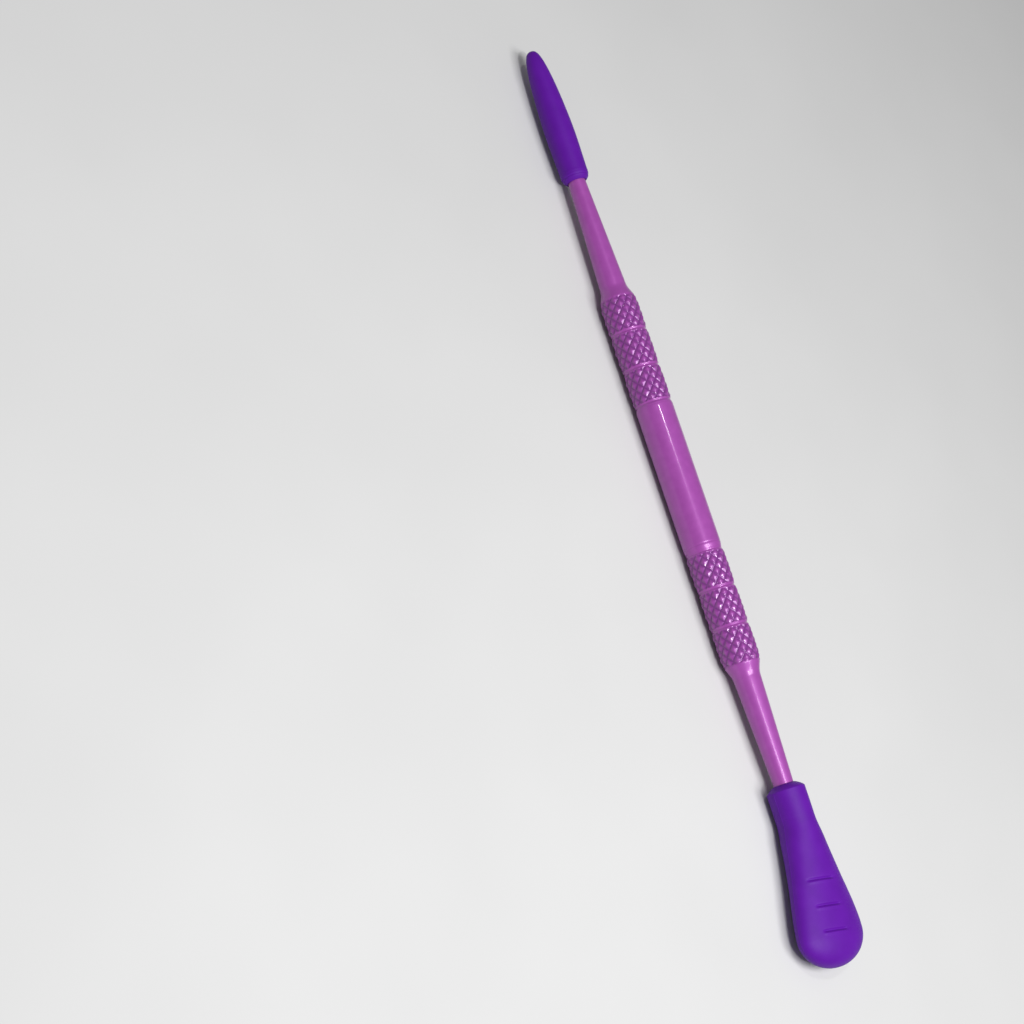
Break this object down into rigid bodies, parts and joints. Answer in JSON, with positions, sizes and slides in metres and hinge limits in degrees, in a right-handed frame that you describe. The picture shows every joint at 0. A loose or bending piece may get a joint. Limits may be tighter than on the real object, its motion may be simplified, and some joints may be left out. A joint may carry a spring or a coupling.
{
  "type": "clay shaper tool",
  "caption": "Double-ended hand tool for shaping clay or wax: knurled metal handle with a spear tip and a spatula tip, each under a pull-off silicone cap.",
  "frame": {"origin": "centre of the tool's box at the height of the surface it lies on: the paddle's broad underside and the grips are on Z = 0", "axes": "+X along the tool towards the paddle cap, +Y across the paddle's width, +Z out of the paddle's upper face"},
  "size_m": [0.1348, 0.012, 0.0055],
  "materials": {
    "orchid_paint": "glossy orchid-purple coat over turned steel",
    "violet_silicone": "satin moulded silicone"
  },
  "bodies": {
    "tool": {"handle": "orchid_paint", "spear_tip": "orchid_paint", "spatula_tip": "orchid_paint"},
    "slim_cap": {"slim_cap": "violet_silicone"},
    "paddle_cap": {"paddle_cap": "violet_silicone"}
  },
  "joints": [
    {"name": "slim_cap_pull", "type": "slide", "parent": "tool", "child": "slim_cap", "axis": [-1, 0, 0], "range_m": [0, 0.02]},
    {"name": "paddle_cap_pull", "type": "slide", "parent": "tool", "child": "paddle_cap", "axis": [1, 0, 0], "range_m": [0, 0.026], "deforming": ["paddle_cap"]}
  ]
}
